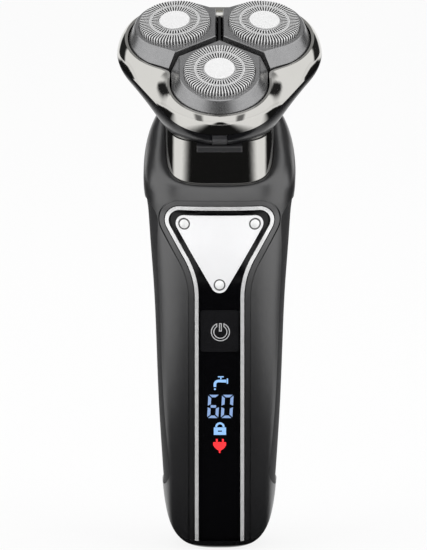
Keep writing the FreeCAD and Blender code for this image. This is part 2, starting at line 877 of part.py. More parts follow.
def latch_arm(grow, travel):
    points = [Vector(-latch_half - grow, w, n) for w, n in latch_profile(grow)]
    if travel:
        half_way = latch_steps + 1
        front = [Vector(-latch_half - grow, w - 3, n) for w, n in latch_profile(grow)[:half_way]]
        back = [Vector(-latch_half - grow, w + travel, n) for w, n in latch_profile(grow)[half_way:]]
        front[0].z += 5
        back[-1].z += 5
        points = front + back
    wire = Part.makePolygon(points + points[:1])
    return Part.Face(wire).extrude(Vector(2 * (latch_half + grow), 0, 0))


def make_release():
    block = box((-release_half, release_half), (-release_front, -release_rear), (release_low, release_high))
    edges = [edge for edge in block.Edges if edge.CenterOfMass.y < 0.01 - release_front]
    block = block.makeFillet(release_round, edges)
    flange = box((-release_half - release_flange, release_half + release_flange),
                 (-release_rear - release_flange_thick, -release_rear), (release_flange_low, release_high))
    return block.fuse([flange, latch_arm(0.0, 0.0)])


def release_slot():
    gap = release_gap
    slot = box((-release_half - gap, release_half + gap), (-release_front - 8, -release_rear + 2),
               (release_low - gap, release_high + gap))
    behind = box((-release_half - release_flange - gap, release_half + release_flange + gap),
                 (-release_rear - release_flange_thick - 2 * gap, release_travel + gap - release_rear),
                 (release_flange_low - gap, release_high + gap))
    return slot.fuse([behind, latch_arm(gap, release_travel + gap)])


def knuckle(left, right, radius):
    return rod_x(radius, left, right, hinge_w, hinge_n)


def make_head_base():
    low = neck_top + seal_thick
    outer = bowl_solid(0.0, low, base_top)
    under = [polar_ring(lambda angle: bowl_radius(angle, low) - neck_wall - fit_gap, low - 1),
             polar_ring(lambda angle: bowl_radius(angle, low) - neck_wall - fit_gap, low),
             polar_ring(lambda angle: bowl_radius(angle, bowl_floor_low) - bowl_wall - overlap,
                        bowl_floor_low)]
    posts = [rod(post_radius, bowl_floor_top - overlap, deck_low, x, w) for x, w in post_places()]
    posts += corner_posts(small_head + post_wall, low, bowl_floor_low + overlap)
    ears = []
    for side in (-1, 1):
        xs = sorted((side * (unit_knuckle_half + knuckle_gap), side * base_knuckle_outer))
        ears.append(knuckle(xs[0], xs[1], knuckle_radius))
        low_ear = hinge_n - base_ear_drop
        inside = bowl_radius(90, low_ear) - bowl_wall
        ears.append(box(xs, (inside, hinge_w), (low_ear, hinge_n - base_ear_top)))
    base = outer.fuse(ears).cut([bowl_solid(bowl_wall, bowl_floor_top, base_top + 1),
                                 Part.makeLoft(under, True, True)])
    base = base.fuse([post.common(outer) for post in posts])
    tools = [knuckle(-unit_knuckle_half - knuckle_gap, unit_knuckle_half + knuckle_gap,
                     knuckle_radius + knuckle_gap), knuckle(-beyond, beyond, hinge_pin_radius)]
    tools.append(release_slot())
    tools += [rod(spindle_radius + spindle_gap, bowl_floor_top - spindle_pivot, bowl_floor_top + 1, x, w)
              for x, w in spindle_places()]
    screw_end = deck_low - deck_screw_length
    tools += [rod(screw_radius, screw_end - 1, deck_low + 1, x, w) for x, w in post_places()]
    tools.append(rod(motor_boss + fit_gap, bowl_floor_low - 1, bowl_floor_top + 1))
    tools += [rod(small_head + fit_gap, bowl_floor_low - 1, bowl_floor_top + 1, x)
              for x in (-motor_screw_ring, motor_screw_ring)]
    tools += head_screws() + corner_posts(small_head, bowl_floor_top - fit_gap, bowl_floor_top + 1)
    return base.cut(tools)


def head_screws():
    """Screws that hold the head base on the neck's posts."""
    top = bowl_floor_top - fit_gap
    heads = corner_posts(small_head, top - head_height, top)
    shanks = corner_posts(small_screw, neck_top - corner_screw_length, top - head_height)
    return [head.fuse(shank) for head, shank in zip(heads, shanks)]


def make_neck():
    neck = neck_form(0.0).cut(neck_bore())
    form = neck_form(-corner_post_sink)
    posts = []
    for post in corner_posts(small_head + post_wall, neck_top - corner_post_length, neck_top):
        posts.append(placed(post, head_place).common(form))
    neck = neck.fuse(posts)
    return neck.cut([placed(screw, head_place) for screw in head_screws()])


def make_neck_seal():
    def outline(grow, low, high):
        rings = [polar_ring(lambda angle: neck_radius(angle, grow), n) for n in (low, high)]
        return Part.makeLoft(rings, True, True)

    top = neck_top + seal_thick
    band = outline(-seal_inset, neck_top, top)
    band = band.cut(outline(-seal_inset - seal_width, neck_top - 1, top + 1))
    return band.cut(head_screws())


# ---------------------------------------------------------------- motor and gears
def make_motor():
    high = bowl_floor_low - motor_plate_thick
    low = high - motor_length
    can = rod(motor_half, low, high).common(
        box((-motor_half, motor_half), (-motor_depth, motor_depth), (low, high)))
    boss = rod(motor_boss, high, high + motor_boss_length)
    rear = rod(motor_boss, low - motor_boss_length, low)
    tabs = [box((x - motor_tab_thick / 2, x + motor_tab_thick / 2), (-motor_tab_half, motor_tab_half),
                (low - motor_tab_length, low)) for x in (-motor_tab_place, motor_tab_place)]
    can = can.fuse([boss, rear] + tabs)
    can = can.cut(rod(shaft_radius + spindle_gap, low - 10, high + 10))
    return can.cut(motor_screws())


def motor_screws():
    screws = []
    high = bowl_floor_low
    for x in (-motor_screw_ring, motor_screw_ring):
        head = rod(small_head, high, high + motor_head_height, x)
        low = high - motor_plate_thick - motor_screw_length
        screws.append(head.fuse(rod(small_screw, low, high, x)))
    return screws


def make_motor_plate():
    low = bowl_floor_low - motor_plate_thick
    plate = rounded_block((-motor_plate_half, motor_plate_half), (-motor_plate_depth, motor_plate_depth),
                          (low, bowl_floor_low), motor_plate_corner, 2)
    return plate.cut([rod(motor_boss, low - 1, bowl_floor_low + 1)] + motor_screws())


def make_shaft():
    low = bowl_floor_low - motor_plate_thick - motor_length - motor_boss_length - shaft_tail
    return rod(shaft_radius, low, pinion_high + shaft_end)


def gear(teeth, low, high, phase):
    """Spur gear with straight-flanked teeth, one tooth centred on the phase angle."""
    pitch = tooth_module * teeth / 2
    tip, root = pitch + tooth_tip * tooth_module, pitch - tooth_root * tooth_module
    half = (math.pi * tooth_module / 2 - backlash) / 2
    lean = math.tan(math.radians(pressure_angle))
    points = []
    for tooth in range(teeth):
        centre = math.radians(phase) + 2 * math.pi * tooth / teeth
        for radius, side in ((root, -1), (tip, -1), (tip, 1), (root, 1)):
            thick = half + (pitch - radius) * lean
            angle = centre + side * thick / radius
            points.append(Vector(radius * math.cos(angle), radius * math.sin(angle), low))
    wire = Part.makePolygon(points + points[:1])
    return Part.Face(wire).extrude(Vector(0, 0, high - low))


def make_pinion():
    return gear(pinion_teeth, pinion_low, pinion_high, -90).cut(rod(shaft_radius, -beyond, 0))


def on_spindle(shape, direction):
    angle = math.radians(direction)
    return placed(shape, Placement(Vector(spindle_ring * math.cos(angle), spindle_ring * math.sin(angle), 0),
                                   Rotation()))


def make_wheel(direction):
    """Gear of one spindle, in mesh with the pinion."""
    wheel = gear(gear_teeth, gear_low, gear_high, direction + 180 + 180 / gear_teeth)
    return on_spindle(wheel.cut(rod(spindle_hub, gear_low - 1, gear_high + 1)), direction)


def make_spindle(direction):
    """Hub, stem and hexagonal tip that turn one cutter."""
    hub = rod(spindle_hub, bowl_floor_top + spindle_end_gap, deck_low - 2 * spindle_end_gap)
    stem = rod(spindle_radius, bowl_floor_top - spindle_pivot + spindle_end_gap, spindle_shoulder)
    return on_spindle(hub.fuse([stem, hexagon(spindle_flats, spindle_shoulder, spindle_top)]), direction)


def deck_bores(radius, low, high):
    return [rod(radius, low, high, x, w) for x, w in spindle_places()]


def make_deck():
    """Cover plate over the gears; it carries the spindles' upper bushes."""
    rings = [polar_ring(lambda angle: bowl_radius(angle, deck_low) - bowl_wall - deck_gap, n)
             for n in (deck_low, deck_top)]
    deck = Part.makeLoft(rings, True, True)
    relief = box((-latch_half - 2 * release_gap, latch_half + 2 * release_gap),
                 (-beyond, release_travel + latch_thick + 3 * release_gap - bowl_radius(-90, deck_low)),
                 (deck_low - 1, deck_top + 1))
    deck = deck.cut(deck_bores(bush_radius, deck_low - 1, deck_top + 1) + [relief])
    return deck.cut(deck_screws())


def deck_screws():
    screws = []
    for x, w in post_places():
        head = rod(screw_head, deck_top - head_height, deck_top, x, w)
        shank = rod(screw_radius, deck_low - deck_screw_length, deck_top - head_height, x, w)
        screws.append(head.fuse(shank))
    return screws


def make_bushes():
    bushes = []
    for (x, w), bore in zip(spindle_places(), deck_bores(spindle_radius + spindle_gap, -20, 0)):
        sleeve = rod(bush_radius, deck_low, deck_top, x, w)
        rim = rod(bush_radius + bush_rim, deck_top, deck_top + bush_rim_thick, x, w)
        bushes.append(sleeve.fuse(rim).cut(bore))
    return Part.makeCompound(bushes)


# ================================================================ shaving unit
def shroud_form(inset, low, high):
    """Shroud's form: from a rounded triangle up to a rim with three lobes."""
    rings = []
    for step in rim_steps:
        n = blend(low, high, step)
        share = 1 - math.sqrt(1 - (rim_flare * step) ** 2)
        share = blend(share / (1 - math.sqrt(1 - rim_flare ** 2)), step, rim_even)
        rings.append(polar_ring(lambda angle: blend(triangle_radius(angle, base_corner),
                                                    trefoil_radius(angle, rim_corner), share) - inset,
                                n, 60))
    return Part.makeLoft(rings, True, False)


def make_shroud():
    shroud = shroud_form(0.0, shroud_low, shroud_top)
    shroud = shroud.cut(shroud_form(shroud_wall, shroud_low - 0.01, shroud_top + 0.01))
    knuckle_block = box((-unit_knuckle_half, unit_knuckle_half),
                        (triangle_radius(90, base_corner) - shroud_wall, hinge_w),
                        (hinge_n + unit_ear_low, hinge_n + unit_ear_high))
    shroud = shroud.fuse([knuckle(-unit_knuckle_half, unit_knuckle_half, knuckle_radius), knuckle_block])
    side = knuckle_radius + knuckle_gap
    tools = [knuckle(-unit_knuckle_half - 3, unit_knuckle_half + 3, hinge_pin_radius + spindle_gap)]
    for left, right in ((-base_knuckle_outer - knuckle_gap, -unit_knuckle_half),
                        (unit_knuckle_half, base_knuckle_outer + knuckle_gap)):
        tools.append(knuckle(left, right, side))
    return shroud.cut(tools)


def pod_frame_place(direction):
    """From a pod's own frame (p outwards, q across, n up) to the head's frame, with its lean."""
    lean = Rotation(Vector(0, 1, 0), pod_tilt)
    pivot = Vector(spindle_ring, 0, pivot_n)
    tilt = Placement(pivot - lean.multVec(pivot), lean)
    return turn_z(direction).multiply(tilt)


def make_carrier():
    """Plate under the pods, with a pair of posts for each pod and fins in the gaps."""
    rings = [triangle_ring(base_corner - shroud_wall - fit_gap, n) for n in (carrier_low, carrier_top)]
    plate = Part.makeLoft(rings, True, True)
    plate = plate.cut(deck_bores(carrier_bore, carrier_low - 1, carrier_top + 1))
    parts = []
    for direction in pod_directions.values():
        for side in (-1, 1):
            q_range = sorted((side * post_inner, side * post_outer))
            post = box((spindle_ring - post_half, spindle_ring + post_half), q_range,
                       (carrier_top - overlap, pivot_n))
            top = rod_y(post_half, q_range[0], q_range[1], spindle_ring, pivot_n)
            pin_hole = rod_y(pivot_radius, q_range[0] - 1, q_range[1] + 1, spindle_ring, pivot_n)
            parts.append(placed(post.fuse(top).cut(pin_hole), turn_z(direction)))
        fin = box((-0.1, rib_end), (-rib_half, rib_half), (carrier_top - overlap, rib_top))
        parts.append(placed(fin, turn_z(direction + 60)))
    side = knuckle_radius + knuckle_gap
    plate = plate.fuse(parts)
    end = base_knuckle_outer + 2 * knuckle_gap
    return plate.cut(knuckle(-end, end, side + fit_gap))


def make_pivot_pins():
    pins = []
    for direction in pod_directions.values():
        for side in (-1, 1):
            q_range = sorted((side * post_inner, side * (skirt_half - pod_wall)))
            pin = rod_y(pivot_radius, q_range[0], q_range[1], spindle_ring, pivot_n)
            pins.append(placed(pin, turn_z(direction)))
    return Part.makeCompound(pins)


def pod_outline(half, inset, n):
    """Pod's outline from above: a third of the circle that runs out into a half-round."""
    apex = (pod_gap + inset) / math.sin(math.radians(60))
    corner = apex + half / math.tan(math.radians(60))
    points = [Vector(apex, 0, n), Vector(corner, half, n), Vector(spindle_ring, half, n),
              Vector(spindle_ring, -half, n), Vector(corner, -half, n)]
    edges = [Part.LineSegment(points[0], points[1]), Part.LineSegment(points[1], points[2]),
             Part.Arc(points[2], Vector(spindle_ring + half, 0, n), points[3]),
             Part.LineSegment(points[3], points[4]), Part.LineSegment(points[4], points[0])]
    return Part.Wire([edge.toShape() for edge in edges])


def skirt_at(n):
    """Half width of the pod's outer face at a height."""
    share = (pod_top - pod_edge - n) / (pod_top - pod_edge - skirt_n)
    return blend(pod_half, skirt_half, share)


def make_pod():
    outer = Part.makeLoft([pod_outline(pod_half - pod_edge, pod_edge * 0.5, pod_top),
                           pod_outline(pod_half, 0.0, pod_top - pod_edge),
                           pod_outline(skirt_half, 0.0, skirt_n),
                           pod_outline(skirt_half, 0.0, skirt_low)], True, True)
    ceiling = pod_top - pod_plate
    inner = Part.makeLoft([pod_outline(skirt_at(ceiling) - pod_wall, sector_wall, ceiling),
                           pod_outline(skirt_half - pod_wall, sector_wall, skirt_n),
                           pod_outline(skirt_half - pod_wall, sector_wall, skirt_low - 1)], True, True)
    pod = outer.cut([inner, rod(guard_radius + guard_hole_gap, -6, 2, spindle_ring)])
    ears = []
    for side in (-1, 1):
        q_range = sorted((side * ear_inner, side * (skirt_half - pod_wall)))
        wide = sorted((side * ear_inner, side * (skirt_half - pod_wall / 2)))
        ears.append(box((spindle_ring - ear_half, spindle_ring + ear_half), wide, (skirt_low, skirt_n)))
        ear = box((spindle_ring - ear_half, spindle_ring + ear_half), q_range, (pivot_n, skirt_low))
        ears.append(ear)
        ears.append(rod_y(ear_half * 0.85, q_range[0], q_range[1], spindle_ring, pivot_n))
    pod = pod.fuse(ears)
    return pod.cut(rod_y(pivot_radius + spindle_gap, -skirt_half - 2, skirt_half + 2, spindle_ring, pivot_n))


def make_guard():
    """Slotted cap that the hairs enter, on its own axis."""
    inner = guard_radius - guard_wall
    cap = rod(guard_radius, guard_low, 0.0)
    cap = cap.makeFillet(guard_wall * 0.8, [edge for edge in cap.Edges if edge.CenterOfMass.z > -0.01])
    cap = cap.fuse(rod(guard_flange, guard_low, flange_top)).cut(rod(inner, guard_low - 1, -guard_wall))
    groove = rod(guard_groove + groove_width / 2, -groove_depth, 1).cut(
        rod(guard_groove - groove_width / 2, -1, 2))
    slots = []
    for slot in range(slot_count):
        cut = box((slot_inner, slot_outer), (-slot_width / 2, slot_width / 2), (-guard_wall - 0.2, 0.3))
        slots.append(placed(cut, turn_z(360 * slot / slot_count)))
    hole = rod(centre_pin, -2, 1)
    return cap.cut([groove, hole] + slots)


def make_guard_centre():
    disc = rod(centre_radius, -0.0, centre_rise)
    return disc.fuse(rod(centre_pin, -guard_wall - 0.1, 0.0))


def make_cutter():
    """Turning cutter: hub with a hexagonal socket, disc and a ring of upright blades."""
    parts = [rod(hub_radius, hub_low, cutter_low)]
    for blade in range(blade_count):
        cut = box((blade_inner, cutter_disc - 0.1), (-blade_thick / 2, blade_thick / 2),
                  (cutter_high - 0.2, blade_top))
        parts.append(placed(cut, turn_z(360 * blade / blade_count)))
    cutter = rod(cutter_disc, cutter_low, cutter_high).fuse(parts)
    return cutter.cut(hexagon(hub_flats, hub_low - 1, cutter_low + 0.3))


# ================================================================ the whole shaver
def build_handle():
    floors = {"grip": handle_solid(grip_floor), "grip_face": handle_solid(grip_sink),
              "front": handle_solid(front_floor), "window_face": handle_solid(window_sink),
              "ridge": handle_solid(ridge_depth), "trim_face": handle_solid(-trim_proud),
              "plate_face": handle_solid(plate_sink), "plate_rim": handle_solid(plate_rim_sink)}
    outer = handle_solid(0.0)
    front, rear = make_shells(outer, floors)
    save("front_shell", front)
    save("rear_shell", rear)
    right_grip, left_grip = make_grips(floors)
    save("right_grip", right_grip)
    save("left_grip", left_grip)
    trim, window = make_front(floors)
    plate, rivets = make_plate(floors)
    save("front_trim", trim)
    save("front_window", window.cut(rivets))
    save("badge_plate", plate)
    save("badge_rivets", rivets)
    save("power_button", make_power_button(floors))
    case, plunger = make_switch()
    save("power_switch", case)
    save("switch_plunger", plunger)
    save("circuit_board", make_board().cut(make_board_screws()))
    save("board_screws", make_board_screws())
    save("display_module", make_display())
    save("battery_cell", make_cell())
    save("battery_contacts", make_contacts())
    save("inner_frame", make_frame())
    save("base_cap", make_cap(outer))
    save("charging_socket", make_socket())
    save("base_screws", make_base_screws())


def build_head():
    save("neck_cover", make_neck())
    pieces = {"neck_seal": make_neck_seal(), "head_base": make_head_base(),
              "head_screws": Part.makeCompound(head_screws()), "motor_can": make_motor(),
              "motor_plate": make_motor_plate(), "motor_screws": Part.makeCompound(motor_screws()),
              "motor_shaft": make_shaft(), "drive_pinion": make_pinion(), "gear_cover": make_deck(),
              "gear_cover_screws": Part.makeCompound(deck_screws()), "spindle_bushes": make_bushes(),
              "hinge_pin": knuckle(-base_knuckle_outer, base_knuckle_outer, hinge_pin_radius),
              "release_button": make_release(), "head_shroud": make_shroud(),
              "cutter_carrier": make_carrier(), "pod_pivot_pins": make_pivot_pins()}
    for name, direction in pod_directions.items():
        pieces["spindle_gear_" + name] = make_wheel(direction)
        pieces["spindle_shaft_" + name] = make_spindle(direction)
    for name, piece in pieces.items():
        save(name, placed(piece, head_place))


def build_pods():
    pod, guard, centre, cutter = make_pod(), make_guard(), make_guard_centre(), make_cutter()
    for piece in (guard, centre, cutter):
        piece.translate(Vector(spindle_ring, 0, 0))
    for name, direction in pod_directions.items():
        place = pod_frame_place(direction)
        for node, piece in (("pod_frame_", pod), ("cutter_guard_", guard), ("guard_centre_", centre),
                            ("inner_cutter_", cutter)):
            save(node + name, placed(piece, place, head_place))


build_handle()
build_head()
build_pods()
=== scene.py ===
"""Looks of the rotary shaver: materials, slotted guards, symbols, studio and camera."""
import bmesh
import bpy
import json
import math
from mathutils import Matrix, Vector


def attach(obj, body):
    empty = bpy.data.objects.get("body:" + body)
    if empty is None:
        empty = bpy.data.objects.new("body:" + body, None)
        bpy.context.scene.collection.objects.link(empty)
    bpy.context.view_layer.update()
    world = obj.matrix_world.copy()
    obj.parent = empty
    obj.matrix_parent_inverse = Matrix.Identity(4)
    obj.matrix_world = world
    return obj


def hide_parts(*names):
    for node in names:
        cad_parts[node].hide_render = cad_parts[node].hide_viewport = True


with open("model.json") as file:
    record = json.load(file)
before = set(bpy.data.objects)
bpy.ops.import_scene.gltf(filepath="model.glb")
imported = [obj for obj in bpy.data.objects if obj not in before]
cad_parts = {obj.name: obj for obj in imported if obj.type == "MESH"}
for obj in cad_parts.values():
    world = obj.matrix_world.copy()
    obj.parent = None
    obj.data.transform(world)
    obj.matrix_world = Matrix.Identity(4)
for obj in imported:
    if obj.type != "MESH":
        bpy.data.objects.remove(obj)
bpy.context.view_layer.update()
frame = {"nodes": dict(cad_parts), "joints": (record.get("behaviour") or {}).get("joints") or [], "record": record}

MM = 0.001
POD_NAMES = ("front", "right", "left")
RIVET_SHADE_RING = 1.8 * MM          # outer radius of the painted shade round a rivet, standing for the shade in a groove
RIVET_SHADE = 0.1

# surfaces
EVEN = (1.0, 1.0, 1.0)
COLOR_DETAIL = 4.0
COLOR_STOPS = (0.3, 0.7)
ROUGHNESS_DETAIL = 3.0
GRAIN_DETAIL = 2.0
GRAIN_DEPTH = 0.02 * MM

# slotted guards, in millimetres: profiles are (radius, height off the guard's face)
OUTER_BARS = 72
INNER_BARS = 48
METAL_SHARE = 0.47             # part of each step round the ring that is bar
SHEET = 0.35
LID_HEIGHT = 9.3               # guard's face above the pivot of its pod
RING_STEPS = 144
SMOOTH_ANGLE = 40
WALL_RING = ((10.8, -1.9), (10.8, -3.1), (11.5, -3.1), (11.5, -4.4), (10.25, -4.4), (10.25, -1.9))
GROOVED_RING = ((7.0, 0.0), (7.12, 0.0), (7.12, -0.22), (7.48, -0.22), (7.48, 0.0), (7.7, 0.0), (7.7, -0.5),
                (7.0, -0.5))
HUB_RING = ((1.6, 0.0), (4.35, 0.0), (4.35, -0.38), (5.0, -0.38), (5.0, -0.6), (1.6, -0.6))
OUTER_PATH = ((7.65, 0.0), (9.2, 0.0), (10.15, -0.04), (10.5, -0.16), (10.71, -0.4), (10.8, -0.8),
              (10.8, -2.0))
INNER_PATH = ((4.9, -0.5), (4.93, -0.15), (5.08, 0.0), (7.08, 0.0))

# display and power sign, in millimetres on the front: x to the right, z up
DIGIT_HEIGHT = 7.4
DIGIT_LOW = 43.2
DIGITS = (("acdefg", -3.77, 3.4), ("abcdef", 0.4, 3.5))       # lit segments, left edge, width
DIGIT_SLANT = 3.0              # degrees
SEGMENT_SIDE = 0.9
SEGMENT_BAR = 0.8
SEGMENT_GAP = 0.28
SIGN_X, SIGN_Z = 0.26, 70.5
SIGN_OUTER, SIGN_INNER = 2.9, 1.85
SIGN_BREAK = 0.95              # half of the break in the ring
SIGN_BAR_HALF = 0.42
SIGN_BAR_LOW, SIGN_BAR_HIGH = 0.15, 2.75
SIGN_LINE = 0.27               # width of the drawn line
SIGN_STEPS = 60
PRINT_PROUD = 0.02
PRINT_DEPTH = 0.1

# studio, in metres
CAMERA_DISTANCE = 6.0
CAMERA_DOWN = 14.0             # degrees
CAMERA_TARGET = (-0.00183, 0.0, 0.0839)
FRAME_HEIGHT = 0.16775
SENSOR = 36.0
AIM = (0, 0, 0.1)
LAMPS = (                      # name, place, size, watts
    ("bank", (-1.1, -0.5, 0.6), (1.0, 1.6), 11.0),
    ("bank", (1.1, -0.5, 0.6), (1.0, 1.6), 11.0),
    ("front_fill", (0.0, -1.4, 1.3), (1.6, 0.8), 5.0),
    ("top", (0.0, 0.3, 1.2), (1.2, 1.0), 5.5),
)
WORLD_FILL = 0.35
FLOOR_SIZE = 8.0
FLOOR_Z = -0.0001
FLOOR_GLOW = 0.85              # share of plain white that cameras and reflections see
CARD_Z = 0.001
FLOOR_CARD_SHADE = 0.01
FLOOR_CARDS = (                # name, size, place, shares of its length and width that fade out
    ("near_flag", (0.56, 0.5), (0.0, -0.225), (0.6, 0.1)),
    ("far_flag", (0.38, 1.1), (0.02, -1.0), (0.6, 0.1)),
    ("rear_floor_flag", (0.9, 0.8), (-0.5, 0.35), (0.4, 0.5)),
    ("rear_floor_flag", (0.9, 0.8), (0.5, 0.35), (0.4, 0.5)),
)
RAISED_CARDS = (               # name, size, place, shade, fading shares, density
    ("rear_flag", (0.9, 1.6), (-0.9, 0.75, 0.4), 0.02, (0.4, 0.4), 1.0),
    ("rear_flag", (0.9, 1.6), (0.9, 0.75, 0.4), 0.02, (0.4, 0.4), 1.0),
    ("side_flag", (0.35, 1.2), (-0.55, -0.75, 0.3), 0.03, (0.7, 0.7), 0.85),
    ("side_flag", (0.35, 1.2), (0.55, -0.75, 0.3), 0.03, (0.7, 0.7), 0.85),
    ("front_upper_flag", (0.42, 0.9), (0.0, -0.6, 1.0), 0.03, (0.6, 0.4), 0.9),
    ("ceiling_flag", (1.6, 1.1), (0.0, 0.5, 1.05), 0.12, (0.5, 0.5), 0.8),
)


# ---------------------------------------------------------------- joints, as the record gives them
joints = {joint["name"]: joint for joint in frame["joints"]}


def joint_place(name):
    """Point on a joint's axis, and the axis, in metres."""
    joint = joints[name]
    return Vector(joint.get("pos_m") or (0, 0, 0)), Vector(joint["axis"]).normalized()


# ---------------------------------------------------------------- materials
class Surface:
    """A Principled material with its node tree, built up in steps."""

    def __init__(self, name, color, roughness, metallic=0.0, coat=0.0, specular=0.5):
        self.material = bpy.data.materials.new(name)
        self.material.use_nodes = True
        self.tree = self.material.node_tree
        self.shader = self.tree.nodes["Principled BSDF"]
        self.color, self.roughness = color, roughness
        self.set("Base Color", (*color, 1.0))
        self.set("Roughness", roughness)
        self.set("Metallic", metallic)
        self.set("Coat Weight", coat)
        self.set("Specular IOR Level", specular)
        self.material.diffuse_color = (*color, 1.0)

    def set(self, socket, value):
        self.shader.inputs[socket].default_value = value
        return self

    def add(self, kind, **values):
        node = self.tree.nodes.new(kind)
        for key, value in values.items():
            if key in node.inputs:
                node.inputs[key].default_value = value
            else:
                setattr(node, key, value)
        return node

    def link(self, out, into):
        self.tree.links.new(out, into)

    def noise(self, scale, detail, stretch):
        """Noise in the object's own metres, with so many cells to the metre."""
        place = self.add("ShaderNodeTexCoord")
        mapping = self.add("ShaderNodeMapping", Scale=stretch)
        noise = self.add("ShaderNodeTexNoise", Scale=scale, Detail=detail)
        self.link(place.outputs["Object"], mapping.inputs["Vector"])
        self.link(mapping.outputs["Vector"], noise.inputs["Vector"])
        return noise

    def vary_color(self, scale, spread):
        """Colour that drifts a little lighter and darker over the surface."""
        noise = self.noise(scale, COLOR_DETAIL, EVEN)
        ramp = self.add("ShaderNodeValToRGB")
        low = [channel * (1 - spread) for channel in self.color]
        high = [min(1.0, channel * (1 + spread)) for channel in self.color]
        for stop, position, color in zip(ramp.color_ramp.elements, COLOR_STOPS, (low, high)):
            stop.position = position
            stop.color = (*color, 1.0)
        self.link(noise.outputs["Fac"], ramp.inputs["Fac"])
        self.link(ramp.outputs["Color"], self.shader.inputs["Base Color"])
        return self

    def vary_roughness(self, scale, spread):
        noise = self.noise(scale, ROUGHNESS_DETAIL, EVEN)
        span = self.add("ShaderNodeMapRange")
        span.inputs["To Min"].default_value = max(0.0, self.roughness - spread)
        span.inputs["To Max"].default_value = self.roughness + spread
        self.link(noise.outputs["Fac"], span.inputs["Value"])
        self.link(span.outputs["Result"], self.shader.inputs["Roughness"])
        return self

    def grain(self, scale, strength, stretch=EVEN):
        """Fine bump: moulded texture, brushing or orange peel."""
        noise = self.noise(scale, GRAIN_DETAIL, stretch)
        bump = self.add("ShaderNodeBump")
        bump.inputs["Strength"].default_value = strength
        bump.inputs["Distance"].default_value = GRAIN_DEPTH
        self.link(noise.outputs["Fac"], bump.inputs["Height"])
        self.link(bump.outputs["Normal"], self.shader.inputs["Normal"])
        return self

    def painted_shade_rounds(self, places, radius, shade):
        """Painted shade: darkens the colour inside circles about points, seen along the object's own y axis."""
        coordinates = self.add("ShaderNodeTexCoord")
        for place in places:
            offset = self.add("ShaderNodeVectorMath", operation="SUBTRACT")
            offset.inputs[1].default_value = place
            flat = self.add("ShaderNodeVectorMath", operation="MULTIPLY")
            flat.inputs[1].default_value = (1, 0, 1)
            length = self.add("ShaderNodeVectorMath", operation="LENGTH")
            inside = self.add("ShaderNodeMath", operation="LESS_THAN")
            inside.inputs[1].default_value = radius
            mix = self.add("ShaderNodeMix", data_type="RGBA")
            factor, before, after, mixed_color = mix.inputs[0], mix.inputs[6], mix.inputs[7], mix.outputs[2]
            after.default_value = (shade, shade, shade, 1)
            self.link(coordinates.outputs["Object"], offset.inputs[0])
            self.link(offset.outputs["Vector"], flat.inputs[0])
            self.link(flat.outputs["Vector"], length.inputs[0])
            self.link(length.outputs["Value"], inside.inputs[0])
            self.link(inside.outputs[0], factor)
            self.link(self.shader.inputs["Base Color"].links[0].from_socket, before)
            self.link(mixed_color, self.shader.inputs["Base Color"])
        return self


def satin_shell():
    return Surface("satin_shell", (0.011, 0.011, 0.012), 0.3, specular=1.0
                   ).set("IOR", 1.7).vary_color(350, 0.06).vary_roughness(900, 0.03).grain(9000, 0.1)


def grip_rubber():
    return Surface("grip_rubber", (0.016, 0.016, 0.017), 0.6, specular=0.35
                   ).vary_color(500, 0.15).grain(6000, 0.35)


def bright_chrome(name):
    return Surface(name, (0.66, 0.65, 0.62), 0.06, metallic=1.0
                   ).vary_color(300, 0.01).vary_roughness(300, 0.015)


def gloss_black():
    return Surface("gloss_black", (0.002, 0.002, 0.0025), 0.08, specular=0.35
                   ).vary_color(400, 0.1).vary_roughness(400, 0.02)


def silver_plate():
    return Surface("silver_plate", (0.93, 0.93, 0.94), 0.32, metallic=0.15, coat=0.2
                   ).vary_color(200, 0.01).grain(4000, 0.05, stretch=(0.05, 1.0, 1.0))


def charcoal_plastic():
    return Surface("charcoal_plastic", (0.006, 0.006, 0.007), 0.22).vary_color(400, 0.1).grain(8000, 0.05)


def pod_metal():
    return Surface("pod_metal", (0.38, 0.38, 0.385), 0.28, metallic=0.9
                   ).vary_color(600, 0.04).vary_roughness(1500, 0.03).grain(9000, 0.015)


def guard_steel():
    return Surface("guard_steel", (0.72, 0.72, 0.72), 0.35, metallic=0.3
                   ).vary_color(900, 0.06).grain(5000, 0.05)


def white_steel():
    return Surface("white_steel", (0.76, 0.76, 0.76), 0.4, metallic=0.1
                   ).vary_color(900, 0.02).grain(5000, 0.04)


def plain(name, color, roughness, metallic=0.0, grain=0.1):
    return Surface(name, color, roughness, metallic).vary_color(600, 0.08).grain(5000, grain)


def lit_surface(name, color, strength):
    surface = Surface(name, color, 0.3).vary_color(2500, 0.04)
    return surface.set("Emission Color", (*color, 1.0)).set("Emission Strength", strength)


SLOT_SURFACES = {
    "shell": satin_shell(),
    "grip": grip_rubber(),
    "trim": plain("trim_chrome", (0.86, 0.86, 0.86), 0.22, 0.45, 0.02),
    "gloss_black": gloss_black(),
    "plate": silver_plate(),
    "rivet": plain("rivet_steel", (0.9, 0.9, 0.9), 0.35, 0.1, 0.02),
    "neck": bright_chrome("neck_chrome"),
    "shroud": bright_chrome("shroud_chrome"),
    "charcoal": charcoal_plastic(),
    "pod": pod_metal(),
    "steel": guard_steel(),
    "bright_steel": white_steel(),
    # inner cutters painted near black: painted shade for the guard's shadow over the steel
    "cutter_steel": plain("cutter_steel", (0.03, 0.03, 0.032), 0.6, 0.3),
    "screw_steel": plain("screw_steel", (0.5, 0.5, 0.5), 0.35, 1.0),
    "white_plastic": plain("white_plastic", (0.75, 0.75, 0.72), 0.4),
    "inner_plastic": plain("inner_plastic", (0.1, 0.1, 0.1), 0.5),
    "board": plain("board_mask", (0.02, 0.12, 0.05), 0.35),
    "display": plain("display_diffuser", (0.05, 0.05, 0.06), 0.3),
    "cell": plain("cell_sleeve", (0.05, 0.12, 0.35), 0.35),
    "nickel": plain("nickel_strip", (0.7, 0.68, 0.62), 0.3, 1.0),
    "seal": plain("seal_rubber", (0.012, 0.012, 0.012), 0.55),
    "brass": plain("bushing_bronze", (0.7, 0.55, 0.25), 0.35, 1.0),
}


